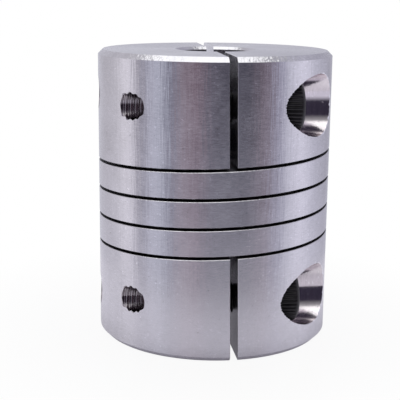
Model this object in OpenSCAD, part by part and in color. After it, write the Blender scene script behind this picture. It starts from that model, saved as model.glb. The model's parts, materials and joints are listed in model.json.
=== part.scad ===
// Helical beam coupling: one slotted body with two clamping ends, and four clamping screws.
// Units are millimetres. +Z runs along the coupling's axis and z = 0 is the lower end face.
// The front slits face -Y. Angles about the axis are counted from -Y towards +X.

/* [Body] */
// outside diameter of the body
body_d = 25; // [22:0.5:32]
// overall length of the body
body_l = 30.7; // [29:0.1:40]
// chamfer on the outer edge of each end face
edge_chamfer = 0.5; // [0.2:0.1:1]

/* [Bore] */
// shaft bore at each end
bore_d = 8; // [5:0.5:10]
// chamfer at the mouth of each bore
bore_chamfer = 0.4; // [0.2:0.1:1]
// length of each bore, measured from its end face
bore_depth = 9; // [7:0.5:9.5]
// wider hollow inside the flexing coils
relief_d = 10.5; // [8:0.5:12]

/* [Helical slot] */
// rise of the helical slot in one turn
slot_pitch = 2.95; // [2.4:0.05:3.6]
// height of the helical slot
slot_h = 0.3; // [0.2:0.05:0.6]
// whole turns of the slot between the two front slits
slot_turns = 3; // [2:1:4]
// angle that the slot runs on past each front slit
slot_run = 130; // [100:5:170]

/* [End slits] */
// width of the straight slits that let each end close on its shaft
slit_w = 0.8; // [0.5:0.1:1.5]
// distance of the upper end's slits from the middle plane, towards +X
upper_slit_x = 0.1; // [-1:0.1:1]
// distance of the lower end's slits from the middle plane, towards +X
lower_slit_x = 0.5; // [-1:0.1:1]
// depth of the rear slit, measured from the end face
rear_slit_depth = 9; // [7:0.5:9.5]

/* [Clamping screws] */
// nominal thread diameter of the screws
screw_d = 3; // [2:0.5:4]
// length of the screws under the head
screw_l = 10; // [8:1:12]
// distance of each screw from the coupling's axis
screw_offset = 8; // [6:0.1:9]
// distance of the upper screws from the upper end face
upper_screw_from_end = 5.15; // [4:0.05:7]
// distance of the lower screws from the lower end face
lower_screw_from_end = 5.55; // [4:0.05:7]
// distance of the head's seat from the coupling's middle plane
seat_x = 4.66; // [3:0.1:6]
// radial clearance between a screw and its tapped hole
thread_clearance = 0.05; // [0.03:0.01:0.1]
// radial clearance between a screw and its clearance hole
shank_clearance = 0.25; // [0.1:0.05:0.5]
// radial clearance around a screw head
head_clearance = 0.45; // [0.2:0.05:0.6]

/* [Side holes] */
// diameter of the tapped hole in the -X side of each end
side_hole_d = 4; // [3:0.5:5]
// distance of each side hole from its end face
side_hole_from_end = 4.5; // [3.5:0.1:6]

/* [Flex stand-in] */
// angle left free between neighbouring lengths of the coil, so that the flex hinges can turn
hinge_gap = 0.3; // [0.2:0.05:0.6]

/* [Hidden] */
$fn = 96;
body_r = body_d / 2;
bore_r = bore_d / 2;
relief_r = relief_d / 2;
mid_z = body_l / 2;
// height of the slot's centre where it meets the lower front slit
slot_z0 = mid_z - slot_pitch * slot_turns / 2;
// angles at which the flexing coil is divided
first_cut = -45;
last_cut = 360 * (slot_turns - 1) + 45;
cut_step = (last_cut - first_cut) / 3;
// angle between neighbouring rays of the helical faces
ray_step = 7.5;
// radii that the helical cutters run between
cut_in = relief_r / 3;
cut_out = body_r + 2;
// heights of the screws
lower_screw_z = lower_screw_from_end;
upper_screw_z = body_l - upper_screw_from_end;
// screw sizes that follow the thread diameter
head_d = screw_d * 1.8333;
head_h = screw_d;
hex_af = screw_d * 0.8333;
hex_depth = screw_d * 0.5;
head_chamfer = screw_d * 0.1;
tip_chamfer = screw_d * 0.15;
tap_r = screw_d / 2;
shank_r = tap_r - thread_clearance;
clear_r = shank_r + shank_clearance;
counterbore_r = head_d / 2 + head_clearance;

// height of the slot's centre at an angle
function slot_z(a) = slot_z0 + slot_pitch * a / 360;
// point at a radius, an angle and a height
function at(r, a, z) = [r * sin(a), -r * cos(a), z];

// Solid between two radii and two angles, less than a full turn apart. Its lower face follows
// the helix at a distance lo above the slot's centre. Its upper face follows the helix at a
// distance hi, or lies flat at the height top if that is more than zero.
module helical_slab(a0, a1, lo, hi, top = 0) {
  n = ceil((a1 - a0) / ray_step);
  ring = [for (i = [0 : n]) a0 + (a1 - a0) * i / n];
  function upper(a) = (top > 0) ? top : slot_z(a) + hi;
  pts = [for (a = ring) for (k = [0 : 3])
    at((k == 0 || k == 3) ? cut_in : cut_out, a, (k < 2) ? slot_z(a) + lo : upper(a))];
  sides = [for (i = [0 : n - 1]) for (k = [0 : 3])
    let (p = 4 * i + k, q = 4 * i + (k + 1) % 4) each [[p, q, p + 4], [q, q + 4, p + 4]]];
  polyhedron(points = pts, faces = concat([[3, 2, 1, 0]], sides, [[4 * n, 4 * n + 1, 4 * n + 2, 4 * n + 3]]));
}

// Lower end before the clamping cuts: a chamfered tube, bored and relieved, with everything
// above the first turn of the slot taken away and the start of the slot cut in.
module hub_blank() {
  top_a = first_cut + 360;
  blank_top = slot_z(top_a) + slot_h;
  difference() {
    rotate_extrude() {
      polygon([
        [bore_r + bore_chamfer, 0],
        [body_r - edge_chamfer, 0],
        [body_r, edge_chamfer],
        [body_r, blank_top],
        [relief_r, blank_top],
        [relief_r, bore_depth],
        [bore_r, bore_depth],
        [bore_r, bore_chamfer]
      ]);
    }
    helical_slab(first_cut - hinge_gap / 2, first_cut + 180, -slot_h / 2, 0, body_l);
    helical_slab(first_cut + 180, top_a, -slot_h / 2, 0, body_l);
    helical_slab(-slot_run, first_cut, -slot_h / 2, slot_h / 2);
  }
}

// Cuts that turn an end into a clamp, and the hole in its side. The slits run from the end face
// at z_end towards the middle: dir is 1 at the lower end and -1 at the upper. The two slits of
// an end lie in one plane, slit_x from the middle, and its screws at the height screw_z.
module clamp_cuts(z_end, dir, slit_x, screw_z) {
  front_mid = z_end + dir * slot_z0 / 2;
  rear_mid = z_end + dir * (rear_slit_depth - 1) / 2;
  translate([slit_x, -cut_out / 2, front_mid - dir / 2]) cube([slit_w, cut_out, slot_z0 + 1], center = true);
  translate([slit_x, cut_out / 2, rear_mid]) cube([slit_w, cut_out, rear_slit_depth + 1], center = true);
  for (turn = [0, 180]) {
    rotate([0, 0, turn]) translate([0, -screw_offset, screw_z]) rotate([0, 90, 0]) {
      cylinder(r = clear_r, h = seat_x + 1);
      translate([0, 0, seat_x]) cylinder(r = counterbore_r, h = body_r);
      translate([0, 0, -body_r - 1]) cylinder(r = tap_r, h = body_r + 1);
    }
  }
  translate([-body_r - 1, 0, z_end + dir * side_hole_from_end]) rotate([0, 90, 0]) {
    cylinder(d = side_hole_d, h = body_r + 1);
  }
}

// One third of the flexing coil, between two angles.
module coil(a0, a1) {
  low = slot_z(a0);
  high = slot_z(a1) + slot_pitch;
  intersection() {
    difference() {
      translate([0, 0, low]) cylinder(r = body_r, h = high - low);
      translate([0, 0, low - 1]) cylinder(r = relief_r, h = high - low + 2);
    }
    helical_slab(a0 + hinge_gap / 2, a1 - hinge_gap / 2, slot_h / 2, slot_pitch - slot_h / 2);
  }
}

// Socket head cap screw along +X: the head's underside is at x = 0 and its tip at -screw_l.
module cap_screw() {
  rotate([0, 90, 0]) difference() {
    rotate_extrude() {
      polygon([
        [0, -screw_l],
        [shank_r - tip_chamfer, -screw_l],
        [shank_r, tip_chamfer - screw_l],
        [shank_r, 0],
        [head_d / 2, 0],
        [head_d / 2, head_h - head_chamfer],
        [head_d / 2 - head_chamfer, head_h],
        [0, head_h]
      ]);
    }
    translate([0, 0, head_h - hex_depth]) cylinder(d = hex_af / cos(30), h = hex_depth + 1, $fn = 6);
  }
}

// Screw in its place: turn is 0 for the front screws and 180 for the rear ones.
module placed_screw(turn, z) {
  rotate([0, 0, turn]) translate([seat_x, -screw_offset, z]) cap_screw();
}

module lower_hub() {
  color("silver") difference() {
    hub_blank();
    clamp_cuts(0, 1, lower_slit_x, lower_screw_z);
  }
}

module coil_1() {
  color("silver") coil(first_cut, first_cut + cut_step);
}

module coil_2() {
  color("silver") coil(first_cut + cut_step, first_cut + 2 * cut_step);
}

module coil_3() {
  color("silver") coil(first_cut + 2 * cut_step, last_cut);
}

module upper_hub() {
  color("silver") difference() {
    translate([0, 0, body_l]) rotate([0, 180, 0]) hub_blank();
    clamp_cuts(body_l, -1, upper_slit_x, upper_screw_z);
  }
}

module lower_front_screw() {
  color("dimgray") placed_screw(0, lower_screw_z);
}

module lower_rear_screw() {
  color("dimgray") placed_screw(180, lower_screw_z);
}

module upper_front_screw() {
  color("dimgray") placed_screw(0, upper_screw_z);
}

module upper_rear_screw() {
  color("dimgray") placed_screw(180, upper_screw_z);
}

lower_hub();
coil_1();
coil_2();
coil_3();
upper_hub();
lower_front_screw();
lower_rear_screw();
upper_front_screw();
upper_rear_screw();
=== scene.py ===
"""Beam coupling: the visual model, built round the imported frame.

The frame gives the bodies, the joints and the overall box. Everything seen is made here: two
clamping hubs, three lengths of helical coil, four socket head cap screws, and a small studio.
Angles about the coupling's axis are counted from -Y towards +X.
"""

import json
import math

import bmesh
import bpy
import numpy as np
from bpy.props import FloatProperty, FloatVectorProperty, IntProperty, PointerProperty
from mathutils import Matrix, Vector


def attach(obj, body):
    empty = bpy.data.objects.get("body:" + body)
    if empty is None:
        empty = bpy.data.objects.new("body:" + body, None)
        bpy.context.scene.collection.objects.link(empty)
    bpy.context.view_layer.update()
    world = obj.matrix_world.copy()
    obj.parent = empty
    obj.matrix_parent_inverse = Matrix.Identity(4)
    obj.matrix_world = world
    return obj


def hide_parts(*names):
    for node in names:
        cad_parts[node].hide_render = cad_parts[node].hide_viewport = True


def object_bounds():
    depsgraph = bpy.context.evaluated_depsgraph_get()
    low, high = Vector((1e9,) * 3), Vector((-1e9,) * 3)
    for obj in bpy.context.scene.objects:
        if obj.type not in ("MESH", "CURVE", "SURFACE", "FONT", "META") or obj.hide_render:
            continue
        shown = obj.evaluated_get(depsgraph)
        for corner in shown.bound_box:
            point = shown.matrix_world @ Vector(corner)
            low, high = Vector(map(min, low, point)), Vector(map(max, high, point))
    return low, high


bl_info = {
    "name": "Beam Coupling",
    "version": (1, 0, 0),
    "blender": (4, 5, 0),
    "location": "View3D > Sidebar > Coupling",
    "description": "Builds a clamping beam coupling with its screws and a small studio",
    "category": "Add Mesh",
}

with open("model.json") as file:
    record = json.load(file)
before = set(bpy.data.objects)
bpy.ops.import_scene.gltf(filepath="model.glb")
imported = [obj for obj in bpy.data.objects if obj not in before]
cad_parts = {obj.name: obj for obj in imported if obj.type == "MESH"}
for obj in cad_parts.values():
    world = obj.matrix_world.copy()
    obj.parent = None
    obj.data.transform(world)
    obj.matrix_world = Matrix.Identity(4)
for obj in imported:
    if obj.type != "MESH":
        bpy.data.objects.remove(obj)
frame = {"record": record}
CAD_BOX = [list(corner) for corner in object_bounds()]
MM = 0.001

JOINTS = {joint["name"]: joint for joint in frame["record"]["behaviour"]["joints"]}
MOUNTS = {mount["name"]: mount for mount in frame["record"]["mounts"]}
SCREW_PLACES = ("lower_front", "lower_rear", "upper_front", "upper_rear")
BORE = MOUNTS["lower_bore"]["dims"]["r_mm"] * MM
LENGTH = CAD_BOX[1][2] - CAD_BOX[0][2]
RADIUS = (CAD_BOX[1][0] - CAD_BOX[0][0]) / 2
UP = np.array([0.0, 0.0, 1.0])
FULL_TURN = 2 * math.pi
SIXTH = FULL_TURN / 6
WHITE = (1.0, 1.0, 1.0, 1.0)
# Radii of the floor's outer edge and of the plain disc in its middle.
FLOOR_RADIUS = 0.036
FLOOR_MIDDLE = 0.01

# Points round the axis or round a counterbore, and the angle between points along the slot.
ROUND = 288
HELIX_STEP = math.radians(1.5)
# How far a cutter flares out past the wall that it cuts.
FLARE = 1.0 * MM
# Edges shorter than this, in metres, are dissolved after the cuts.
SHORTEST_EDGE = 1e-7
# Waves that add up to a torn edge, as (waves in a turn, phase), and its number of teeth.
TORN_WAVES = ((2, 0.9), (5, 2.1), (9, 4.4), (17, 1.3), (26, 5.2), (43, 3.7))
TORN_TEETH = 72

# How far a face's centre may lie from the surface that it belongs to.
SLACK = 0.004 * MM
# Least cosine between the normals of a face and of its wall, and the same for a thread.
WALL_COSINE = 0.9
THREAD_COSINE = 0.3
# Least rise of a flat face and of a slot's face, then a chamfer's rise and lean and their slack.
FLAT_RISE = 0.99999
SLOT_RISE = 0.98
CHAMFER_RISE, CHAMFER_SLACK = 0.7071, 0.06
# Angle above which the edges of the screws stay sharp.
SHARP_ANGLE = math.radians(38)

# Finishes of the aluminium body, in the order of its material slots. Each has its share of the
# set roughness, its anisotropy, how finely its tool marks are spaced, their depth and that of
# the streaks across them in millimetres, and what its colour is multiplied by. Where that
# multiplier is not 1, it paints light (above 1) or shade (below 1) into the colour.
FINISHES = {
    "turned": (1.0, 0.85, 9000.0, 0.001, 0.02, (1.0, 1.0, 1.0)),
    "edge": (1.0, 0.7, 9000.0, 0.002, 0.06, (1.0, 1.0, 1.0)),
    # Sawn slit walls: a lighter copy of the colour, painted light in the deep slits.
    "sawn": (1.0, 0.3, 5000.0, 0.01, 0.0, (1.2, 1.2, 1.2)),
    # Drilled walls and seats: lighter and warmer, painted warm light in the counterbores.
    "drilled": (0.8, 0.5, 7000.0, 0.006, 0.0, (1.1, 1.04, 1.03)),
    # Threads: a darker copy, painted shade inside the tapped holes.
    "tapped": (0.35, 0.0, 7000.0, 0.001, 0.0, (0.6, 0.57, 0.57)),
    # Helical slot faces: a much darker copy, painted shade deep in the narrow slot.
    "slotted": (1.6, 0.3, 5000.0, 0.01, 0.0, (0.3, 0.3, 0.3)),
    # Bore and relief walls: a darker copy, painted shade inside the bore.
    "bored": (0.8, 0.3, 7000.0, 0.002, 0.0, (0.55, 0.54, 0.56)),
}
TURNED, EDGE, SAWN, DRILLED, TAPPED, SLOTTED, BORED = range(len(FINISHES))

# Light of the studio's walls, as (direction in degrees, colour): 0 is in front, 90 at the right.
WALLS = (
    (-180, (0.61, 0.61, 0.68)),
    (-140, (0.52, 0.50, 0.55)),
    (-120, (0.58, 0.56, 0.61)),
    (-104, (0.78, 0.75, 0.81)),
    (-95, (0.76, 0.73, 0.80)),
    (-88, (0.38, 0.36, 0.41)),
    (-80, (0.29, 0.28, 0.34)),
    (-71, (0.51, 0.51, 0.61)),
    (-60, (0.44, 0.45, 0.54)),
    (-50, (0.16, 0.16, 0.22)),
    (-40, (0.24, 0.19, 0.23)),
    (-25, (0.15, 0.09, 0.12)),
    (-12, (0.045, 0.035, 0.06)),
    (0, (0.03, 0.026, 0.045)),
    (26, (0.03, 0.026, 0.045)),
    (42, (0.14, 0.10, 0.13)),
    (58, (0.33, 0.32, 0.42)),
    (68, (0.58, 0.57, 0.67)),
    (86, (0.77, 0.75, 0.87)),
    (105, (0.56, 0.55, 0.65)),
    (140, (0.39, 0.38, 0.45)),
    (180, (0.61, 0.61, 0.68)),
)


# ---- settings

COLOUR = {"subtype": "COLOR", "min": 0.0, "max": 1.0}
SHARE = {"subtype": "FACTOR", "min": 0.0, "max": 1.0}


def size_setting(name, description, millimetres):
    """Setting for a length in metres, with its default given in millimetres."""
    return FloatProperty(
        name=name, description=description, default=millimetres * MM, unit="LENGTH", precision=6
    )


def angle_setting(name, description, degrees):
    """Setting for an angle, with its default given in degrees."""
    return FloatProperty(
        name=name, description=description, default=math.radians(degrees), unit="ROTATION"
    )


class CouplingShape(bpy.types.PropertyGroup):
    """Sizes of the aluminium body."""

    relief_radius: size_setting("Relief radius", "Inside radius of the flexing coils", 5.25)
    bore_depth: size_setting("Bore depth", "Length of each bore from its end face", 9.0)
    edge_chamfer: size_setting("Edge chamfer", "Chamfer on the outer edge of each end", 0.5)
    bore_chamfer: size_setting("Bore chamfer", "Chamfer at the mouth of each bore", 0.3)
    edge_break: size_setting("Edge break", "Tiny chamfer left on sawn and drilled edges", 0.05)
    slot_pitch: size_setting("Slot pitch", "Rise of the helical slot in one turn", 2.95)
    slot_height: size_setting("Slot height", "Height of the helical slot", 0.3)
    slot_turns: IntProperty(
        name="Slot turns", description="Whole turns of the slot between the front slits", default=3
    )
    slot_run: angle_setting("Slot run-out", "Angle that the slot runs on past each front slit", 130)
    slit_width: size_setting("Slit width", "Width of the straight clamping slits", 0.8)
    slit_x: size_setting(
        "Slit place", "Distance of the slits from the middle plane at mid-length, towards +X", 0.27
    )
    slit_lean: angle_setting(
        "Slit lean", "Angle by which the one saw cut of all the slits leans towards -X", 1.0
    )
    rear_slit_depth: size_setting(
        "Rear slit depth", "Depth of the rear slit from the end face", 9.0
    )
    flex_start: angle_setting(
        "First coil angle", "Angle at which the lower hub hands over to the first coil", -45
    )


class ScrewShape(bpy.types.PropertyGroup):
    """Sizes of the socket head cap screws and of the holes that they sit in."""

    head_radius: size_setting("Head radius", "Radius over the knurl of the head", 2.75)
    head_height: size_setting("Head height", "Height of the head above its seat", 3.0)
    socket_width: size_setting("Socket width", "Width of the hexagon socket across its flats", 2.5)
    socket_depth: size_setting("Socket depth", "Depth of the hexagon socket", 1.5)
    knurl_ribs: IntProperty(
        name="Knurl ribs", description="Number of ribs round the head", default=40
    )
    knurl_depth: size_setting("Knurl depth", "Depth of the grooves between the ribs", 0.12)
    shank_length: size_setting("Shank length", "Length under the head", 10.0)
    thread_pitch: size_setting("Thread pitch", "Distance between neighbouring thread crests", 0.5)
    crest_radius: size_setting("Crest radius", "Radius at the crest of the screw's thread", 1.45)
    root_radius: size_setting("Root radius", "Radius at the root of the screw's thread", 1.19)
    thread_clearance: size_setting(
        "Thread clearance", "Radial gap between the screw's thread and the tapped thread", 0.045
    )
    clear_radius: size_setting(
        "Clearance hole radius", "Radius of the hole that the shank passes through", 1.7
    )
    counterbore_radius: size_setting(
        "Counterbore radius", "Radius of the recess that the head sits in", 3.2
    )


class SideHoleShape(bpy.types.PropertyGroup):
    """Sizes of the tapped hole in the side of each hub."""

    from_end: size_setting(
        "Distance from the end", "Distance of the hole from its hub's end face", 4.5
    )
    outer_radius: size_setting("Outer radius", "Radius at the bottom of the thread's groove", 2.0)
    inner_radius: size_setting("Inner radius", "Radius at the thread's inner edge", 1.66)
    pitch: size_setting("Pitch", "Distance between neighbouring thread grooves", 0.7)


class CouplingFinish(bpy.types.PropertyGroup):
    """Colours and polish of the two metals."""

    aluminium_colour: FloatVectorProperty(
        name="Aluminium",
        description="Colour of the bare turned aluminium",
        default=(0.80, 0.795, 0.82),
        **COLOUR,
    )
    aluminium_roughness: FloatProperty(
        name="Aluminium roughness",
        description="Mean roughness of the turned surfaces",
        default=0.22,
        **SHARE,
    )
    steel_colour: FloatVectorProperty(
        name="Screw steel",
        description="Colour of the black oxide on the screws",
        default=(0.03, 0.029, 0.03),
        **COLOUR,
    )
    steel_roughness: FloatProperty(
        name="Screw roughness",
        description="Mean roughness of the black oxide",
        default=0.36,
        **SHARE,
    )


class StudioSettings(bpy.types.PropertyGroup):
    """Place, direction and focal length of the camera."""

    camera_distance: size_setting(
        "Camera distance", "Distance of the camera from the coupling's axis", 107.86
    )
    camera_height: size_setting("Camera height", "Height of the camera above the floor", 37.44)
    camera_turn: angle_setting(
        "Camera turn", "Angle of the camera round the axis, from the front slits towards -X", 8.304
    )
    camera_pan: angle_setting(
        "Camera pan", "Angle that the camera looks to the right of the axis", -0.775
    )
    camera_tilt: angle_setting("Camera tilt", "Angle that the camera looks down", 12.197)
    camera_roll: angle_setting(
        "Camera roll", "Turn of the camera about its own line of sight", 0.57
    )
    focal_length: FloatProperty(
        name="Focal length",
        description="Focal length on a 36 mm wide sensor, in millimetres",
        default=89.77,
    )


# ---- shape helpers


def polar(radius, angle, height):
    """Points at a radius, an angle from -Y towards +X and a height: (r sin a, -r cos a, z)."""
    radius, angle, height = np.broadcast_arrays(radius, angle, height)
    return np.stack([radius * np.sin(angle), -radius * np.cos(angle), height], -1)


def circle(columns):
    """Angles spaced evenly round a full turn."""
    return np.linspace(0, FULL_TURN, columns, endpoint=False)


def loft(loops, closed=False):
    """Skin over a stack of closed loops, given as an array of loops by points by 3.

    Each quad joins two neighbouring points of a loop to the same two of the next loop. The stack
    closes on itself, or its first and last loops are filled in.
    """
    rows, columns, _ = loops.shape
    index = np.arange(rows * columns).reshape(rows, columns)
    here = index if closed else index[:-1]
    there = np.roll(index, -1, axis=0) if closed else index[1:]
    quads = np.stack([here, np.roll(here, -1, 1), np.roll(there, -1, 1), there], -1)
    faces = quads.reshape(-1, 4).tolist()
    if not closed:
        faces += [index[0][::-1].tolist(), index[-1].tolist()]
    return loops.reshape(-1, 3), faces


def solid(name, loops, closed=False):
    """Mesh of a closed lofted surface, with its faces turned outwards."""
    points, faces = loft(loops, closed)
    mesh = bpy.data.meshes.new(name)
    mesh.from_pydata(points.tolist(), [], faces)
    work = bmesh.new()
    work.from_mesh(mesh)
    bmesh.ops.recalc_face_normals(work, faces=work.faces)
    work.to_mesh(mesh)
    work.free()
    return mesh


def piece(name, mesh):
    """Object at the origin that shows a mesh."""
    shown = bpy.data.objects.new(name, mesh)
    bpy.context.scene.collection.objects.link(shown)
    return shown


def carve(name, blank, cutters):
    """Takes each cutter out of a blank in turn. Both come as loops in metres.

    The blank's stack of loops closes on itself, and a cutter's ends are filled in. The cuts are
    worked in millimetres, where the solver is exact enough, and the result is brought back.
    """
    work = piece(name + "_blank", solid(name + "_blank", blank * (1 / MM), closed=True))
    tools = []
    for number, cutter in enumerate(cutters):
        tool = piece(f"{name}_cutter_{number}", solid("cutter", cutter * (1 / MM)))
        cut = work.modifiers.new("cut", "BOOLEAN")
        cut.operation = "DIFFERENCE"
        cut.solver = "MANIFOLD"
        cut.object = tool
        tools.append(tool)
    graph = bpy.context.evaluated_depsgraph_get()
    mesh = bpy.data.meshes.new_from_object(work.evaluated_get(graph))
    mesh.name = name
    mesh.materials.clear()
    for used in [work] + tools:
        old = used.data
        bpy.data.objects.remove(used)
        bpy.data.meshes.remove(old)
    tidy = bmesh.new()
    tidy.from_mesh(mesh)
    bmesh.ops.scale(tidy, vec=(MM, MM, MM), verts=tidy.verts)
    bmesh.ops.dissolve_degenerate(tidy, dist=SHORTEST_EDGE, edges=tidy.edges)
    bmesh.ops.triangulate(tidy, faces=tidy.faces)
    tidy.to_mesh(mesh)
    tidy.free()
    return mesh


# ---- body of the coupling


def slot_height_at(shape, angle):
    """Height of the helical slot's centre: it climbs one pitch in each turn, about mid-length."""
    start = LENGTH / 2 - shape.slot_pitch * shape.slot_turns / 2
    return start + shape.slot_pitch * angle / FULL_TURN


def helix_loops(shape, start, end, section, flat_top=None):
    """Section carried along the helix between two angles.

    The section is a list of (radius, height above the slot's centre). Its last two points lie
    at the height flat_top instead, if one is given.
    """
    count = max(2, int(math.ceil((end - start) / HELIX_STEP)) + 1)
    angles = np.linspace(start, end, count)[:, None]
    radius, above = np.array(section).T[:, None, :]
    heights = slot_height_at(shape, angles) + above
    if flat_top is not None:
        heights[:, -2:] = flat_top
    return polar(radius, angles, heights)


def hub_blank(shape):
    """Chamfered and bored tube as a loop of (radius, height) points turned round the axis."""
    top = slot_height_at(shape, shape.flex_start + FULL_TURN) - shape.slot_height / 2
    chamfer = shape.edge_chamfer
    section = np.array([
        (BORE + shape.bore_chamfer, 0.0),
        (RADIUS - chamfer, 0.0),
        (RADIUS, chamfer),
        (RADIUS, top),
        (shape.relief_radius, top),
        (shape.relief_radius, shape.bore_depth),
        (BORE, shape.bore_depth),
        (BORE, shape.bore_chamfer),
    ])
    return polar(section[None, :, 0], circle(ROUND)[:, None], section[None, :, 1])


def helix_cutters(shape):
    """Cutters that leave the lower hub under the first turn of the slot.

    Two wide ones take away what lies above the slot's lower face, and a thin one cuts the start
    of the slot. They begin well inside the hollow and flare at the outside, which breaks the
    edge that they leave.
    """
    half = shape.slot_height / 2
    inner, outer = shape.relief_radius * 0.4, RADIUS - shape.edge_break
    start, end = shape.flex_start, shape.flex_start + FULL_TURN
    below = [(inner, -half), (outer, -half), (outer + FLARE, -half - FLARE)]
    over = below + [(outer + FLARE, 0.0), (inner, 0.0)]
    thin = below + [(outer + FLARE, half + FLARE), (outer, half), (inner, half)]
    overlap = math.radians(2)
    return [
        helix_loops(shape, start, start + math.pi, over, LENGTH),
        helix_loops(shape, start + math.pi - overlap, end + overlap, over, LENGTH),
        helix_loops(shape, -shape.slot_run, start + overlap / 2, thin),
    ]


def slit_middle(shape, height):
    """Place of the slits along X at a height: the saw cut leans by a constant slope."""
    return shape.slit_x - math.tan(shape.slit_lean) * (height - LENGTH / 2)


def slit_cutter(shape, side, low, high):
    """Leaning prism that cuts a slit on one side of the bore: side is -1 in front and 1 behind.

    Its outline flares just inside the outer wall, which breaks the slit's two edges.
    """
    reach = RADIUS - shape.edge_break / 2
    loops = np.zeros((2, 6, 3))
    for loop, height in zip(loops, (low, high)):
        middle = slit_middle(shape, height)
        left, right = middle - shape.slit_width / 2, middle + shape.slit_width / 2
        left_wall, right_wall = math.sqrt(reach**2 - left**2), math.sqrt(reach**2 - right**2)
        loop[:, :2] = (
            (left, 0.0),
            (right, 0.0),
            (right, side * right_wall),
            (right + FLARE, side * (right_wall + FLARE)),
            (left - FLARE, side * (left_wall + FLARE)),
            (left, side * left_wall),
        )
        loop[:, 2] = height
    return loops


def face_slit_cutter(shape, side, z_end, inward):
    """Shallow wedge along a slit that breaks its edges at the end face."""
    half, edge, out = shape.slit_width / 2, shape.edge_break, FLARE / 2
    outline = np.array([
        (-half, z_end + inward * edge),
        (half, z_end + inward * edge),
        (half + edge + out, z_end - inward * out),
        (-half - edge - out, z_end - inward * out),
    ])
    loops = np.zeros((2, len(outline), 3))
    loops[:, :, 0] = slit_middle(shape, z_end) + outline[:, 0]
    loops[:, :, 2] = outline[:, 1]
    loops[0, :, 1], loops[1, :, 1] = 0.0, side * (RADIUS + out)
    return loops


class HoleLine:
    """Level line of a screw or a hole: a point on it, its direction, and the one across it."""

    def __init__(self, seat, along):
        self.seat = np.array(seat, dtype=float)
        self.along = np.array(along, dtype=float)
        self.across = np.cross(self.along, UP)

    def points(self, distance, radius, angle):
        """Points at a distance past the seat, a radius and an angle about the line."""
        distance, radius, angle = np.broadcast_arrays(distance, radius, angle)
        return (
            self.seat
            + distance[..., None] * self.along
            + (radius * np.cos(angle))[..., None] * UP
            + (radius * np.sin(angle))[..., None] * self.across
        )

    def wall_distance(self, radius, angle, way):
        """Distance past the seat at which a hole of a radius meets the body's outer wall.

        The wall is met where x squared plus y squared is the body's radius squared; way is 1
        at the tip's side and -1 at the head's side.
        """
        y = self.seat[1] + radius * np.sin(angle) * self.across[1]
        return way * np.sqrt(RADIUS**2 - y**2) - self.seat[0] * self.along[0]


def screw_line(place):
    """Line of the screw at a place, from its joint: the point is on the head's seat."""
    joint = JOINTS[place + "_turn"]
    return HoleLine(joint["pos_m"], joint["axis"])


def hub_screw_lines(upper):
    """Lines of a hub's front and rear screws."""
    return [screw_line(place) for place in (SCREW_PLACES[2:] if upper else SCREW_PLACES[:2])]


def side_line(side_hole, upper):
    """Line of a side hole: it runs from the axis towards -X."""
    height = LENGTH - side_hole.from_end if upper else side_hole.from_end
    return HoleLine((0.0, 0.0, height), (-1.0, 0.0, 0.0))


def thread_radius(inner, outer, pitch, distance, angle):
    """Radius of a right-hand thread: a flattened triangle wave of distance less turns."""
    phase = (distance / pitch - angle / FULL_TURN) % 1.0
    wave = np.clip(1.45 * (1 - np.abs(2 * phase - 1)) - 0.2, 0.0, 1.0)
    return inner + (outer - inner) * wave


def ragged(angle, seed):
    """Uneven edge between 0 and 1 round a hole: a sum of waves of whole-numbered frequency."""
    total = sum(np.sin(count * angle + phase * (seed + 1)) for count, phase in TORN_WAVES)
    return np.clip(0.5 + total / 5, 0.0, 1.0)


def head_hole(shape, screw, line, seed):
    """Clearance hole and counterbore as one cutter, with an uneven flare at the outer wall.

    The rim lies deeper by a ragged edge, and has teeth that grow where the recess is shallow.
    """
    angle = circle(ROUND)
    wide, edge_break = screw.counterbore_radius, shape.edge_break
    rim = line.wall_distance(wide, angle, -1) + edge_break * (0.2 + 1.8 * ragged(angle, seed) ** 2)
    near = ((rim - rim.min()) / (rim.max() - rim.min())) ** 2
    teeth = np.abs(np.sin(TORN_TEETH / 2 * angle)) * (0.3 + ragged(angle, seed + 7))
    torn = wide + 2.4 * edge_break * teeth * near
    middle = abs(line.seat[0])
    rows = [
        (middle, screw.clear_radius),
        (0.0, screw.clear_radius),
        (0.0, wide),
        (np.minimum(rim + 3 * edge_break, 0.0), wide),
        (rim, torn),
        (rim - FLARE, torn + FLARE),
        (middle - RADIUS - 2 * FLARE, torn + FLARE),
    ]
    return np.stack([line.points(distance, radius, angle) for distance, radius in rows])


def tapped_hole(line, thread, burr, start, seed):
    """Threaded cutter from a distance along its line to the outer wall, ragged at its mouth.

    The thread is its inner radius, outer radius and pitch. Each column of the grid ends on its
    own point of the wall. The thread gets shallower over the last 2 mm, by up to two fifths, and
    the flare beyond is a little uneven and about as deep as the burr.
    """
    columns, rows_per_turn = 96, 12
    angle = circle(columns)[None, :]
    inner, outer, pitch = thread
    rim = line.wall_distance((inner + outer) / 2, angle, 1)
    edge = burr * (0.3 + 1.1 * ragged(angle, seed))
    turns = float(rim.max() - start) / pitch
    share = np.linspace(0, 1, int(turns * rows_per_turn))[:, None]
    distance = start + share * (rim - edge - start)
    worn = np.clip((distance - rim) / (2.0 * MM) + 1.0, 0.0, 1.0) * 0.4
    radius = thread_radius(inner, outer - worn * (outer - inner), pitch, distance, angle)
    mouth = line.points(rim - edge + FLARE, radius[-1:] + FLARE, angle)
    return np.concatenate([line.points(distance, radius, angle), mouth])


def turned_over(loops):
    """Half a turn about the line through mid-length along Y: x and z change ends."""
    return loops * np.array([-1.0, 1.0, -1.0]) + np.array([0.0, 0.0, LENGTH])


def screw_thread(screw):
    """Thread of the tapped holes for the screws: the screw's own, a small clearance wider."""
    gap = screw.thread_clearance
    return screw.root_radius + gap, screw.crest_radius + gap, screw.thread_pitch


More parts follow.
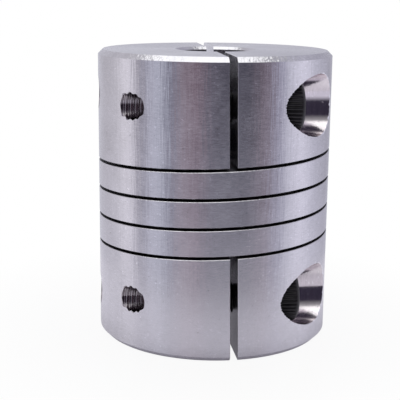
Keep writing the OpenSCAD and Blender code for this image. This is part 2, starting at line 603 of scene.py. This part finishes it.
def hub_cutters(shape, screw, side_hole, upper):
    """All the cutters of one hub. The upper hub's helix is the lower one's, turned over."""
    z_end = LENGTH if upper else 0.0
    inward = -1 if upper else 1
    front_end = slot_height_at(shape, FULL_TURN * shape.slot_turns if upper else 0.0)
    rear_end = z_end + inward * shape.rear_slit_depth
    outside = z_end - inward * MM
    cutters = helix_cutters(shape)
    if upper:
        cutters = [turned_over(loops) for loops in cutters]
    for side, end in ((-1, front_end), (1, rear_end)):
        cutters.append(slit_cutter(shape, side, *sorted((outside, end))))
    for side in (-1, 1):
        cutters.append(face_slit_cutter(shape, side, z_end, inward))
    burr = shape.edge_break
    for seed, line in enumerate(hub_screw_lines(upper), start=2 * upper):
        cutters.append(head_hole(shape, screw, line, seed))
        cutters.append(tapped_hole(line, screw_thread(screw), burr, abs(line.seat[0]), seed))
    thread = side_hole.inner_radius, side_hole.outer_radius, side_hole.pitch
    line = side_line(side_hole, upper)
    cutters.append(tapped_hole(line, thread, burr / 5, BORE / 2, 5 + upper))
    return cutters


# ---- surface data


def read(items, name, width=1, kind=float):
    """Array of a value, or a row of values, for each vertex, corner or face of a mesh."""
    values = np.empty(len(items) * width, dtype=kind)
    items.foreach_get(name, values)
    return values.reshape(-1, width) if width > 1 else values


class Faces:
    """Arrays of a triangle mesh: face centres and normals, and the points of the corners.

    Until it is marked, every face counts as sawn and its grain lies along Y.
    """

    def __init__(self, mesh):
        self.mesh = mesh
        polygons = mesh.polygons
        count = len(polygons)
        self.corner_vertex = read(mesh.loops, "vertex_index", kind=np.int32)
        self.corner_face = np.repeat(np.arange(count), read(polygons, "loop_total", kind=np.int32))
        self.corner_point = read(mesh.vertices, "co", 3)[self.corner_vertex]
        self.normal = read(polygons, "normal", 3)
        self.area = read(polygons, "area")
        self.centre = read(polygons, "center", 3)
        self.corner_normal = self.normal[self.corner_face]
        self.grain = np.tile([0.0, 1.0, 0.0], (len(mesh.loops), 1))
        self.across = self.corner_point[:, 2].copy()
        # Faces left unmarked are sawn, and their lighter colour is painted light.
        self.kind = np.full(count, SAWN, dtype=np.int32)

    def corners(self, faces):
        """Mask of the corners that belong to a mask of faces."""
        return faces[self.corner_face]

    def smooth(self, faces):
        """Blends the face normals of a group at each shared vertex, weighted by area."""
        mine = self.corners(faces)
        total = np.zeros((len(self.mesh.vertices), 3))
        weighted = (self.normal * self.area[:, None])[self.corner_face[mine]]
        np.add.at(total, self.corner_vertex[mine], weighted)
        self.corner_normal[mine] = total[self.corner_vertex[mine]]

    def store(self):
        """Writes kinds, normals and the two attributes that the materials read."""
        mesh = self.mesh
        normals = unit(self.corner_normal)
        mesh.polygons.foreach_set("material_index", self.kind)
        mesh.polygons.foreach_set("use_smooth", np.ones(len(mesh.polygons), dtype=bool))
        mesh.normals_split_custom_set(normals.tolist())
        grain = mesh.attributes.new("grain", "FLOAT_VECTOR", "CORNER")
        grain.data.foreach_set("vector", np.cross(normals, self.grain).ravel())
        across = mesh.attributes.new("across", "FLOAT", "CORNER")
        across.data.foreach_set("value", self.across)
        mesh.update()


def unit(vectors):
    """Vectors scaled to length one."""
    return vectors / np.maximum(np.linalg.norm(vectors, axis=-1, keepdims=True), 1e-12)


def dress_turned(faces, shape):
    """Marks every surface that was turned about the coupling's axis, and gives it exact normals.

    A wall's normal is the direction away from the axis, a chamfer's is halfway between that and
    the axis, and a slot face's is that of the helicoid: up, less the slope along the turn.
    """
    flat = np.array([1.0, 1.0, 0.0])
    away = unit(faces.centre * flat)
    distance = np.linalg.norm(faces.centre * flat, axis=1)
    lean = np.sum(faces.normal * away, axis=1)
    rise = faces.normal[:, 2]
    corner_away = unit(faces.corner_point * flat)
    corner_distance = np.linalg.norm(faces.corner_point * flat, axis=1)
    corner_round = np.cross(UP, corner_away)

    def mark(chosen, normal, across, kind=TURNED):
        """Gives chosen faces their kind, and their corners a normal and a grain round the axis."""
        mine = faces.corners(chosen)
        faces.kind[chosen] = kind
        faces.corner_normal[mine] = normal[mine]
        faces.grain[mine] = corner_round[mine]
        faces.across[mine] = across[mine]

    height = faces.corner_point[:, 2]
    # The bore and relief walls take the darker bored finish: painted shade.
    walls = ((RADIUS, 1, TURNED), (BORE, -1, BORED), (shape.relief_radius, -1, BORED))
    for radius, way, kind in walls:
        wall = (np.abs(distance - radius) < SLACK) & (lean * way > WALL_COSINE)
        mark(wall, corner_away * way, height, kind)
    ends = np.abs(rise) > FLAT_RISE
    mark(ends, faces.normal[faces.corner_face], corner_distance)
    slopes = np.abs(np.stack([rise, lean]))
    sloped = np.all(np.abs(slopes - CHAMFER_RISE) < CHAMFER_SLACK, axis=0)
    edge = RADIUS - distance < shape.edge_chamfer
    mouth = distance - BORE < shape.bore_chamfer
    upward = np.sign(rise)[faces.corner_face][:, None]
    outward = np.sign(lean)[faces.corner_face][:, None]
    slant = outward * corner_away + upward * UP
    mark(sloped & (edge | mouth), slant, height + corner_distance, EDGE)
    slope = shape.slot_pitch / FULL_TURN / np.maximum(corner_distance, MM)
    helicoid = upward * (UP - slope[:, None] * corner_round)
    # Slot faces take the darkest finish: painted shade.
    mark((np.abs(rise) > SLOT_RISE) & ~ends, helicoid, corner_distance, SLOTTED)


def dress_holes(faces, screw, side_hole, upper):
    """Marks the walls of a hub's holes. Their grain runs round each hole's own line.

    A wall's normal points at that line, and a thread's are smoothed. The side hole has only a
    thread, which starts just inside the bore.
    """
    screw_reach = screw_thread(screw)[1]
    holes = [(line, abs(line.seat[0]), screw_reach) for line in hub_screw_lines(upper)]
    holes.append((side_line(side_hole, upper), BORE - 0.3 * MM, side_hole.outer_radius))
    for line, start, reach in holes:
        offset = faces.centre - line.seat
        depth = offset @ line.along
        out = offset - depth[:, None] * line.along
        distance = np.linalg.norm(out, axis=1)
        lean = np.sum(faces.normal * unit(out), axis=1)
        corner_offset = faces.corner_point - line.seat
        corner_depth = corner_offset @ line.along
        corner_out = unit(corner_offset - corner_depth[:, None] * line.along)
        bored = np.zeros(len(distance), dtype=bool)
        for radius in (screw.clear_radius, screw.counterbore_radius):
            wall = (np.abs(distance - radius) < SLACK) & (lean < -WALL_COSINE)
            wall &= line.seat[0] != 0.0
            bored |= wall
            mine = faces.corners(wall)
            faces.corner_normal[mine] = -corner_out[mine]
        seat = (distance < screw.counterbore_radius) & (np.abs(depth) < SLACK)
        # Drilled walls and seats take the lighter, warmer finish: painted light.
        faces.kind[bored | seat] = DRILLED
        thread = (distance < reach + SLACK) & (depth > start + 5 * SLACK) & (lean < -THREAD_COSINE)
        faces.smooth(thread)
        # Threads take the darker tapped finish: painted shade.
        faces.kind[thread] = TAPPED
        mine = faces.corners(bored | seat | thread)
        faces.grain[mine] = np.cross(line.along, corner_out[mine])
        faces.across[mine] = corner_depth[mine]


# ---- materials


class Nodes:
    """Shorthand for adding and joining shader nodes."""

    def __init__(self, owner):
        owner.use_nodes = True
        self.tree = owner.node_tree
        self.tree.nodes.clear()

    def feed(self, node, socket, value):
        """Joins an output to an input of a node, or sets the input to a value."""
        if isinstance(value, bpy.types.NodeSocket):
            self.tree.links.new(value, node.inputs[socket])
        else:
            node.inputs[socket].default_value = value

    def add(self, kind, *first, **values):
        """New node. Names of sockets are inputs, and other names are its properties.

        Values without a name go to the first inputs, after the others.
        """
        node = self.tree.nodes.new(kind)
        for name, value in values.items():
            if hasattr(node, name):
                setattr(node, name, value)
            else:
                self.feed(node, name.replace("_", " "), value)
        for slot, value in enumerate(first):
            self.feed(node, slot, value)
        return node

    def math(self, operation, *values):
        """Output of a math node on one or two values."""
        return self.add("ShaderNodeMath", *values, operation=operation).outputs[0]

    def vector(self, operation, *values):
        """Vector math node on one or two vectors."""
        return self.add("ShaderNodeVectorMath", *values, operation=operation)

    def place(self):
        """Place on the object."""
        return self.add("ShaderNodeTexCoord").outputs["Object"]

    def noise(self, place, scale, detail, roughness):
        """Output of a noise between 0 and 1."""
        values = {"Scale": scale, "Detail": detail, "Roughness": roughness}
        return self.add("ShaderNodeTexNoise", Vector=place, **values).outputs["Fac"]

    def spread(self, value, low, high, to_low, to_high):
        """Value mapped from one range to another, held at the ends."""
        return self.add("ShaderNodeMapRange", value, low, high, to_low, to_high).outputs["Result"]

    def ramp(self, value, stops):
        """Colour ramp through (position, colour) stops."""
        node = self.add("ShaderNodeValToRGB", value)
        elements = node.color_ramp.elements
        while len(elements) < len(stops):
            elements.new(0.5)
        for element, (position, colour) in zip(elements, stops):
            element.position = position
            element.color = (*colour, 1.0)
        return node.outputs["Color"]

    def mix(self, share, first, second):
        """Colour that goes from the first to the second as the share goes from 0 to 1."""
        node = self.add("ShaderNodeMix", data_type="RGBA", Factor=share, A=first, B=second)
        return node.outputs["Result"]

    def mix_shaders(self, share, first, second):
        """Shader that goes from the first to the second as the share goes from 0 to 1."""
        return self.add("ShaderNodeMixShader", share, first.outputs[0], second.outputs[0])

    def finish(self, shader, kind="ShaderNodeOutputMaterial"):
        """Output node that shows a shader."""
        self.add(kind, Surface=shader.outputs[0])


def shaded(colour, factor):
    """Colour multiplied by a factor or by three, with no part above 1."""
    return np.minimum(np.array(colour) * factor, 1.0).tolist()


def shades(colour, stops):
    """Stops of a ramp, from (position, factor) pairs that multiply one colour."""
    return [(position, shaded(colour, factor)) for position, factor in stops]


def aluminium_material(name, finish, share, anisotropy, groove, depth, chatter, shade):
    """Bare machined aluminium. Fine tool marks run along the grain attribute.

    The marks are noise that is stretched along the grain: it changes quickly with the across
    attribute and slowly with place. Chatter is the depth of upright streaks across the marks.
    Small nicks, bright specks that are painted glints, and a faint mottle lie over both. Shade
    multiplies the colour, and away from 1 it paints light or shade over the whole surface.
    """
    material = bpy.data.materials.new(name)
    nodes = Nodes(material)
    roughness = finish.aluminium_roughness * share
    place = nodes.place()
    across = nodes.add("ShaderNodeAttribute", attribute_name="across").outputs["Fac"]
    grain = nodes.add("ShaderNodeAttribute", attribute_name="grain").outputs["Vector"]
    tangent = nodes.add(
        "ShaderNodeVectorTransform",
        vector_type="VECTOR",
        convert_from="OBJECT",
        convert_to="WORLD",
        Vector=grain,
    )
    parts = nodes.add("ShaderNodeSeparateXYZ", Vector=place)

    def marks(step, length, detail):
        """Noise drawn out along the tool marks: step is across them and length along them."""
        at = nodes.add(
            "ShaderNodeCombineXYZ",
            X=nodes.math("MULTIPLY", across, step),
            Y=nodes.math("MULTIPLY", parts.outputs["X"], length),
            Z=nodes.math("MULTIPLY", parts.outputs["Y"], length),
        )
        return nodes.noise(at.outputs[0], scale=1.0, detail=detail, roughness=0.7)

    fine = marks(groove, 1600.0, 2.0)
    wide = marks(groove * 0.3, 900.0, 3.0)
    upright = nodes.vector("MULTIPLY", place, (3000.0, 3000.0, 220.0))
    streak = nodes.noise(upright.outputs[0], scale=1.0, detail=2.0, roughness=0.6)
    mottle = nodes.noise(place, scale=260.0, detail=4.0, roughness=0.65)
    speck = nodes.noise(place, scale=3600.0, detail=2.0, roughness=0.6)
    nick = nodes.spread(speck, 0.68, 0.76, 0.0, 1.0)
    # Painted glints: where the speck noise is lowest, bright dots are painted into the colour.
    painted_glint = nodes.spread(speck, 0.28, 0.35, 1.0, 0.0)
    rough = nodes.math(
        "ADD",
        nodes.spread(fine, 0.3, 0.7, roughness * 0.82, roughness * 1.12),
        nodes.spread(mottle, 0.35, 0.65, -0.02, 0.03),
    )
    blend = nodes.math("MULTIPLY", fine, 0.4)
    for part, weight in ((wide, 0.15), (mottle, 0.45), (nick, -0.25), (painted_glint, 0.3)):
        blend = nodes.math("ADD", blend, nodes.math("MULTIPLY", part, weight))
    colour = shaded(finish.aluminium_colour, shade)
    stops = shades(colour, ((0.20, 0.62), (0.38, 0.90), (0.62, 1.07), (0.78, 1.22)))
    height = nodes.math("SUBTRACT", fine, nodes.math("MULTIPLY", nick, 1.6))
    raised = nodes.add("ShaderNodeBump", Distance=depth * MM, Height=height).outputs["Normal"]
    waves = nodes.add("ShaderNodeBump", Distance=chatter * MM, Height=streak, Normal=raised)
    shader = nodes.add(
        "ShaderNodeBsdfPrincipled",
        Base_Color=nodes.ramp(blend, stops),
        Metallic=1.0,
        Roughness=rough,
        Anisotropic=anisotropy,
        Tangent=tangent.outputs["Vector"],
        Normal=waves.outputs["Normal"],
    )
    nodes.finish(shader)
    return material


def steel_material(finish):
    """Black oxide on steel: nearly black, with a soft oily sheen and slight mottling."""
    material = bpy.data.materials.new("black_oxide_steel")
    nodes = Nodes(material)
    place = nodes.place()
    mottle = nodes.noise(place, scale=900.0, detail=4.0, roughness=0.6)
    fine = nodes.noise(place, scale=6000.0, detail=2.0, roughness=0.5)
    stops = shades(finish.steel_colour, ((0.35, 0.7), (0.65, 1.5)))
    roughness = finish.steel_roughness
    bump = nodes.add("ShaderNodeBump", Strength=0.5, Distance=0.01 * MM, Height=fine)
    shader = nodes.add(
        "ShaderNodeBsdfPrincipled",
        Base_Color=nodes.ramp(mottle, stops),
        Metallic=0.6,
        Roughness=nodes.spread(mottle, 0.3, 0.7, roughness * 0.85, roughness * 1.2),
        Normal=bump.outputs["Normal"],
    )
    nodes.finish(shader)
    return material


def aluminium_set(finish):
    """The body's finishes, in the order of the surface kinds. They are made once."""
    names = [kind + "_aluminium" for kind in FINISHES]
    if names[0] not in bpy.data.materials:
        for name, values in zip(names, FINISHES.values()):
            aluminium_material(name, finish, *values)
    return [bpy.data.materials[name] for name in names]


# ---- operators


def settings():
    """The groups of settings of the current scene, in the order of GROUPS."""
    return [getattr(bpy.context.scene, name) for name in GROUPS]


def dress(mesh, shape, finish):
    """Gives a body mesh its finishes and marks its turned surfaces."""
    for material in aluminium_set(finish):
        mesh.materials.append(material)
    faces = Faces(mesh)
    dress_turned(faces, shape)
    return faces


class COUPLING_OT_hubs(bpy.types.Operator):
    """Build the two clamping hubs with their slits, bores and screw holes"""

    bl_idname = "coupling.build_hubs"
    bl_label = "Build hubs"

    def execute(self, context):
        shape, screw, side_hole, finish, _ = settings()
        for node, upper in (("lower_hub", False), ("upper_hub", True)):
            blank = hub_blank(shape)
            if upper:
                blank = turned_over(blank)
            cutters = hub_cutters(shape, screw, side_hole, upper)
            mesh = carve(node + "_turned", blank, cutters)
            faces = dress(mesh, shape, finish)
            dress_holes(faces, screw, side_hole, upper)
            faces.store()
            hub = piece(node + "_turned", mesh)
            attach(hub, node)
            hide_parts(node)
        return {"FINISHED"}


class COUPLING_OT_coils(bpy.types.Operator):
    """Build the three lengths of flexing coil between the hubs"""

    bl_idname = "coupling.build_coils"
    bl_label = "Build coils"

    def execute(self, context):
        shape, _, _, finish, _ = settings()
        inner, edge = shape.relief_radius, shape.edge_break
        low = shape.slot_height / 2
        high = shape.slot_pitch - low
        section = [
            (inner, low),
            (RADIUS - edge, low),
            (RADIUS, low + edge),
            (RADIUS, high - edge),
            (RADIUS - edge, high),
            (inner, high),
        ]
        start = shape.flex_start
        last = FULL_TURN * (shape.slot_turns - 1) - start
        names = ("coil_1", "coil_2", "coil_3")
        step = (last - start) / len(names)
        for number, node in enumerate(names):
            from_angle = start + number * step
            loops = helix_loops(shape, from_angle, from_angle + step, section)
            mesh = solid(node + "_band", loops)
            dress(mesh, shape, finish).store()
            coil = piece(node + "_band", mesh)
            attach(coil, node)
            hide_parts(node)
        return {"FINISHED"}


def screw_loops(screw, line):
    """Surface of a socket head cap screw as rings along its line, from socket floor to tip.

    Each ring has a distance past the seat and a radius for each angle. The socket's rings are
    hexagons, the head's side is cut by round-topped ribs, and the shank's rings follow the
    thread, held inside a cone at the tip and swelling to a plain neck under the head. The
    underside stays a hair off the seat, so that no two faces coincide.
    """
    columns_per_rib, rows_per_thread = 8, 8
    angle = circle(screw.knurl_ribs * columns_per_rib)
    top = -screw.head_height
    half_flat = screw.socket_width / 2
    hexagon = half_flat / np.cos((angle + SIXTH / 2) % SIXTH - SIXTH / 2)
    corner = half_flat / math.cos(SIXTH / 2)
    rib = np.abs(np.cos(screw.knurl_ribs * angle / 2)) ** 0.8
    groove = screw.knurl_depth * (1 - rib)
    head, root, neck = screw.head_radius, screw.root_radius, screw.crest_radius
    floor = top + screw.socket_depth
    rings = [
        (floor + 0.30 * MM, 0.05 * MM),
        (floor + 0.02 * MM, 0.80 * hexagon),
        (floor, 0.97 * hexagon),
        (floor - 0.05 * MM, hexagon),
        (top + 0.16 * MM, hexagon),
        (top + 0.03 * MM, np.maximum(hexagon, corner * 0.99) + 0.03 * MM),
        (top, corner + 0.07 * MM),
        (top, head - 0.42 * MM),
        (top + 0.03 * MM, head - 0.34 * MM),
        (top + 0.27 * MM, head - 0.10 * MM),
        (top + 0.34 * MM, head - 0.06 * MM),
        (top + 0.42 * MM, head - 0.04 * MM - groove * 0.5),
    ]
    rings += [(top + down * MM, head - groove) for down in (0.5, 0.9, 1.3, 1.7, 2.1, 2.5)]
    under = -0.003 * MM
    rings += [
        (-0.22 * MM, head - groove),
        (-0.12 * MM, head - 0.05 * MM - groove * 0.4),
        (-0.03 * MM, head - 0.20 * MM),
        (under, head - 0.28 * MM),
        (under, neck + 0.12 * MM),
        (0.03 * MM, neck + 0.04 * MM),
        (0.12 * MM, neck),
    ]
    start, end, pitch = 0.3 * MM, screw.shank_length, screw.thread_pitch
    steps = int(round((end - start) / pitch * rows_per_thread))
    for distance in np.linspace(start, end - 0.02 * MM, steps):
        cut = thread_radius(root, neck, pitch, distance, angle)
        fade = min(1.0, (distance - start) / (0.9 * MM))
        cone = root - 0.1 * MM + (end - distance) * 0.8
        rings.append((distance, np.minimum(neck + (cut - neck) * fade, cone)))
    rings += [(end, root - 0.14 * MM), (end, 0.4 * MM)]
    return np.stack([line.points(distance, radius, angle) for distance, radius in rings])


class COUPLING_OT_screws(bpy.types.Operator):
    """Build the four clamping screws with knurled heads, sockets and threads"""

    bl_idname = "coupling.build_screws"
    bl_label = "Build screws"

    def execute(self, context):
        _, screw, _, finish, _ = settings()
        material = steel_material(finish)
        for place in SCREW_PLACES:
            node = place + "_screw"
            mesh = solid(node + "_cap", screw_loops(screw, screw_line(place)))
            mesh.materials.append(material)
            mesh.polygons.foreach_set("use_smooth", np.ones(len(mesh.polygons), dtype=bool))
            mesh.set_sharp_from_angle(angle=SHARP_ANGLE)
            cap = piece(node + "_cap", mesh)
            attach(cap, node)
            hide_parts(node)
        return {"FINISHED"}


def studio_world():
    """Surroundings: plain white to the camera, and a studio of soft panels to everything else.

    The walls are a ramp round the horizon, dim in front and bright at the sides and behind. Low
    down they go over into the light of the table, and high up into a plain grey. A wide soft
    panel shines from nearly straight overhead.
    """
    world = bpy.data.worlds.new("studio")
    bpy.context.scene.world = world
    nodes = Nodes(world)
    direction = nodes.add("ShaderNodeTexCoord").outputs["Generated"]
    parts = nodes.add("ShaderNodeSeparateXYZ", Vector=direction)
    ahead = nodes.math("MULTIPLY", parts.outputs["Y"], -1.0)
    turn = nodes.math("ARCTAN2", parts.outputs["X"], ahead)
    share = nodes.math("ADD", nodes.math("DIVIDE", turn, FULL_TURN), 0.5)
    walls = nodes.ramp(share, [(degrees / 360 + 0.5, colour) for degrees, colour in WALLS])
    low = nodes.spread(parts.outputs["Z"], -0.16, -0.44, 0.0, 0.93)
    high = nodes.spread(parts.outputs["Z"], 0.66, 0.88, 0.0, 1.0)
    facing = nodes.vector("DOT_PRODUCT", direction, (-0.08, 0.06, 0.995))
    overhead = nodes.spread(facing.outputs["Value"], 0.83, 0.88, 0.0, 1.0)
    light = nodes.mix(low, walls, (0.68, 0.67, 0.78, 1.0))
    light = nodes.mix(high, light, (0.35, 0.35, 0.37, 1.0))
    light = nodes.mix(overhead, light, (1.3, 1.3, 1.32, 1.0))
    around = nodes.add("ShaderNodeBackground", Color=light)
    white = nodes.add("ShaderNodeBackground", Color=WHITE)
    seen = nodes.add("ShaderNodeLightPath").outputs["Is Camera Ray"]
    nodes.finish(nodes.mix_shaders(seen, around, white), "ShaderNodeOutputWorld")


def floor_material():
    """Pale paper that reads as white to the camera and still takes the object's shadow.

    The camera sees little but its white glow, with a touch of the shaded paper near the coupling.
    Mirrored rays see a fainter glow, and rays of soft light see only the paper.
    """
    material = bpy.data.materials.new("pale_floor")
    nodes = Nodes(material)
    matt = nodes.add("ShaderNodeBsdfDiffuse", Color=(0.82, 0.81, 0.84, 1.0))
    sheen = nodes.add("ShaderNodeBsdfGlossy", Color=(0.9, 0.9, 0.9, 1.0), Roughness=0.25)
    paper = nodes.mix_shaders(0.3, matt, sheen)
    path = nodes.add("ShaderNodeLightPath")
    seen = path.outputs["Is Camera Ray"]
    white = nodes.mix(seen, (0.92, 0.89, 1.0, 1.0), WHITE)
    glow = nodes.add("ShaderNodeEmission", Color=white)
    away = nodes.vector("LENGTH", nodes.place()).outputs["Value"]
    direct = nodes.spread(away, 0.014, FLOOR_RADIUS, 0.93, 1.0)
    mirrored = nodes.spread(away, 0.0125, 0.018, 0.12, 0.42)
    share = nodes.math(
        "ADD",
        nodes.math("MULTIPLY", seen, direct),
        nodes.math("MULTIPLY", path.outputs["Is Glossy Ray"], mirrored),
    )
    nodes.finish(nodes.mix_shaders(share, paper, glow))
    return material


def top_lamp():
    """Soft square lamp overhead that faces the middle of the coupling."""
    lamp = bpy.data.lights.new("top_panel", "AREA")
    lamp.size, lamp.energy = 0.30, 0.01
    holder = bpy.data.objects.new("top_panel", lamp)
    holder.location = (-0.06, -0.02, 0.30)
    aim = Vector((0.0, 0.0, LENGTH / 2)) - holder.location
    holder.rotation_mode = "QUATERNION"
    holder.rotation_quaternion = aim.to_track_quat("-Z", "Y")
    bpy.context.scene.collection.objects.link(holder)


class COUPLING_OT_stage(bpy.types.Operator):
    """Set up the floor, the soft lights and the camera"""

    bl_idname = "coupling.build_stage"
    bl_label = "Build stage"

    def execute(self, context):
        scene = context.scene
        rings, columns = 6, 96
        radii = np.linspace(FLOOR_RADIUS, FLOOR_MIDDLE, rings)
        points, faces = loft(polar(radii[:, None], circle(columns)[None, :], 0.0))
        mesh = bpy.data.meshes.new("floor")
        mesh.from_pydata(points.tolist(), [], faces[:-2] + [faces[-1]])
        mesh.materials.append(floor_material())
        floor = piece("floor", mesh)
        studio_world()
        top_lamp()
        self.place_camera(scene, settings()[-1])
        scene.view_settings.view_transform = "Standard"
        return {"FINISHED"}

    def place_camera(self, scene, studio):
        """Camera on a circle round the axis, looking along its pan and tilt, then rolled."""
        turn = studio.camera_turn
        place = Vector((
            -studio.camera_distance * math.sin(turn),
            -studio.camera_distance * math.cos(turn),
            studio.camera_height,
        ))
        heading = turn + studio.camera_pan
        tilt = studio.camera_tilt
        forward = Vector((
            math.sin(heading) * math.cos(tilt),
            math.cos(heading) * math.cos(tilt),
            -math.sin(tilt),
        ))
        right = forward.cross(Vector(UP)).normalized()
        upward = right.cross(forward)
        cosine, sine = math.cos(studio.camera_roll), math.sin(studio.camera_roll)
        rolled_right = cosine * right + sine * upward
        rolled_up = cosine * upward - sine * right
        lens = bpy.data.cameras.new("camera")
        lens.lens, lens.sensor_width = studio.focal_length, 36.0
        lens.clip_start, lens.clip_end = 0.005, 10.0
        camera = bpy.data.objects.new("camera", lens)
        turned = Matrix((rolled_right, rolled_up, -forward)).transposed()
        camera.matrix_world = Matrix.Translation(place) @ turned.to_4x4()
        scene.collection.objects.link(camera)
        scene.camera = camera


class COUPLING_PT_panel(bpy.types.Panel):
    """Sidebar panel with the settings and one button for each step"""

    bl_idname = "COUPLING_PT_panel"
    bl_label = "Beam coupling"
    bl_space_type = "VIEW_3D"
    bl_region_type = "UI"
    bl_category = "Coupling"

    def draw(self, context):
        layout = self.layout
        for group in settings():
            box = layout.box()
            for name in group.bl_rna.properties.keys():
                if name not in ("rna_type", "name"):
                    box.prop(group, name)
        for step in STEPS:
            layout.operator(step.bl_idname)


STEPS = (COUPLING_OT_hubs, COUPLING_OT_coils, COUPLING_OT_screws, COUPLING_OT_stage)
GROUPS = {
    "coupling_shape": CouplingShape,
    "coupling_screw": ScrewShape,
    "coupling_side_hole": SideHoleShape,
    "coupling_finish": CouplingFinish,
    "coupling_studio": StudioSettings,
}


def register():
    """Registers the settings, the operators and the panel."""
    for name, group in GROUPS.items():
        bpy.utils.register_class(group)
        setattr(bpy.types.Scene, name, PointerProperty(type=group))
    for step in STEPS + (COUPLING_PT_panel,):
        bpy.utils.register_class(step)


def unregister():
    """Takes away all that register() added."""
    for step in (COUPLING_PT_panel,) + STEPS[::-1]:
        bpy.utils.unregister_class(step)
    for name, group in reversed(list(GROUPS.items())):
        delattr(bpy.types.Scene, name)
        bpy.utils.unregister_class(group)


def main():
    """Builds everything in order."""
    register()
    bpy.ops.coupling.build_hubs()
    bpy.ops.coupling.build_coils()
    bpy.ops.coupling.build_screws()
    bpy.ops.coupling.build_stage()


if __name__ == "__main__":
    main()
